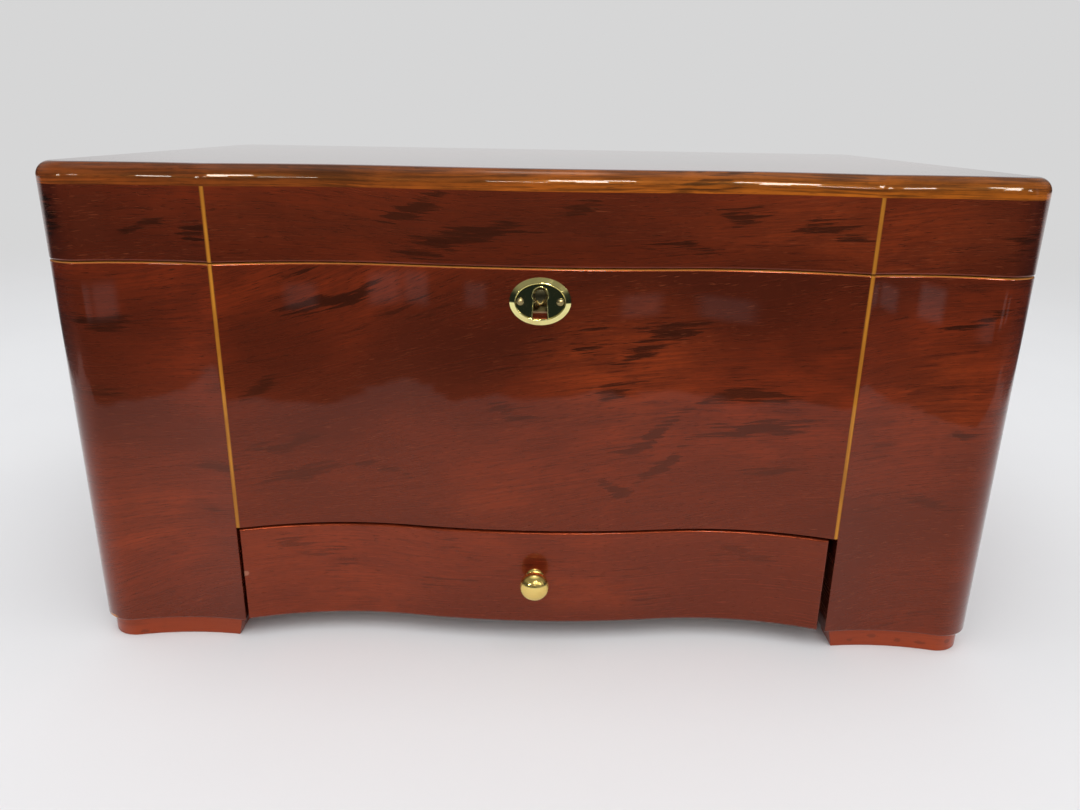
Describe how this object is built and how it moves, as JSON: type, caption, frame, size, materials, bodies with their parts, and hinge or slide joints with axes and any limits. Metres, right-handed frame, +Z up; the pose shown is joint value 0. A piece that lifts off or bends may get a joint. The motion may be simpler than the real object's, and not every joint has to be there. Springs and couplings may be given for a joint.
{
  "type": "cigar humidor",
  "caption": "Lacquered wooden cigar humidor with a hinged lid, a wavy front, an accessory drawer, a cedar-lined chamber with a lift-out tray, and brass lock, knob and hinges.",
  "frame": {"origin": "on the table under the middle of the whole object's box, knob and hinge barrels included", "axes": "+X to the right as seen from the front, +Y towards the hinges, +Z up"},
  "size_m": [0.406, 0.2657, 0.214],
  "materials": {
    "veneer": "glossy lacquered red-brown veneer with dark wavy streaks",
    "lipping": "glossy lacquered golden-brown wood with fine straight grain",
    "string_inlay": "amber inlay under lacquer",
    "foot_wood": "glossy reddish-orange lacquered wood",
    "cedar": "bare planed cedar",
    "inner_wood": "matt sealed wood of the floors and the drawer box",
    "brass": "polished, lightly lacquered",
    "humidifier_plastic": "fine satin black",
    "dial": "satin cream with printed dark marks and plain numbers",
    "dial_glass": "clear flat",
    "needle": "satin black"
  },
  "bodies": {
    "case": {"body_front": "veneer", "body_left_side": "veneer", "body_right_side": "veneer", "body_back": "veneer", "body_strings": "string_inlay", "chamber_floor": "inner_wood", "base_board": "inner_wood", "drawer_guides": "inner_wood", "drawer_stop": "inner_wood", "foot_front_left": "foot_wood", "foot_front_right": "foot_wood", "foot_rear_left": "foot_wood", "foot_rear_right": "foot_wood", "lining_front": "cedar", "lining_back": "cedar", "lining_left": "cedar", "lining_right": "cedar", "lining_floor": "cedar", "tray_rails": "cedar", "lock_case": "brass", "lock_face_plate": "brass", "lock_screws": "brass", "escutcheon": "brass", "escutcheon_screws": "brass", "hinge_body_leaf_left": "brass", "hinge_body_leaf_right": "brass", "hinge_pins": "brass", "hinge_body_screws": "brass"},
    "lid": {"lid_top": "lipping", "lid_front": "veneer", "lid_left_side": "veneer", "lid_right_side": "veneer", "lid_back": "veneer", "lid_strings": "string_inlay", "lid_ceiling": "cedar", "hinge_lid_leaf_left": "brass", "hinge_lid_leaf_right": "brass", "hinge_lid_screws": "brass", "strike_plate": "brass", "strike_screws": "brass", "humidifier_case": "humidifier_plastic", "humidifier_grille": "humidifier_plastic", "hygrometer_case": "brass", "hygrometer_dial": "dial", "hygrometer_glass": "dial_glass"},
    "drawer": {"drawer_front": "veneer", "drawer_side_left": "inner_wood", "drawer_side_right": "inner_wood", "drawer_back": "inner_wood", "drawer_bottom": "inner_wood", "knob": "brass", "knob_screw": "brass"},
    "tray": {"tray_front": "cedar", "tray_back": "cedar", "tray_left": "cedar", "tray_right": "cedar", "tray_bottom": "cedar", "tray_divider": "cedar"},
    "lock_bolt": {"lock_bolt": "brass"},
    "hygrometer_needle": {"hygrometer_needle": "needle"}
  },
  "joints": [
    {"name": "lid_hinge", "type": "hinge", "parent": "case", "child": "lid", "pos_m": [0, 0.13025, 0.17535], "axis": [-1, 0, 0], "range_deg": [0, 95]},
    {"name": "drawer_slide", "type": "slide", "parent": "case", "child": "drawer", "axis": [0, -1, 0], "range_m": [0, 0.16]},
    {"name": "tray_lift", "type": "slide", "parent": "case", "child": "tray", "axis": [0, 0, 1], "range_m": [0, 0.008]},
    {"name": "lock_bolt_slide", "type": "slide", "parent": "case", "child": "lock_bolt", "axis": [1, 0, 0], "range_m": [0, 0.004]},
    {"name": "needle_turn", "type": "hinge", "parent": "lid", "child": "hygrometer_needle", "pos_m": [0.092, 0.00535, 0.1975], "axis": [0, 0, 1], "range_deg": [-120, 120]}
  ]
}
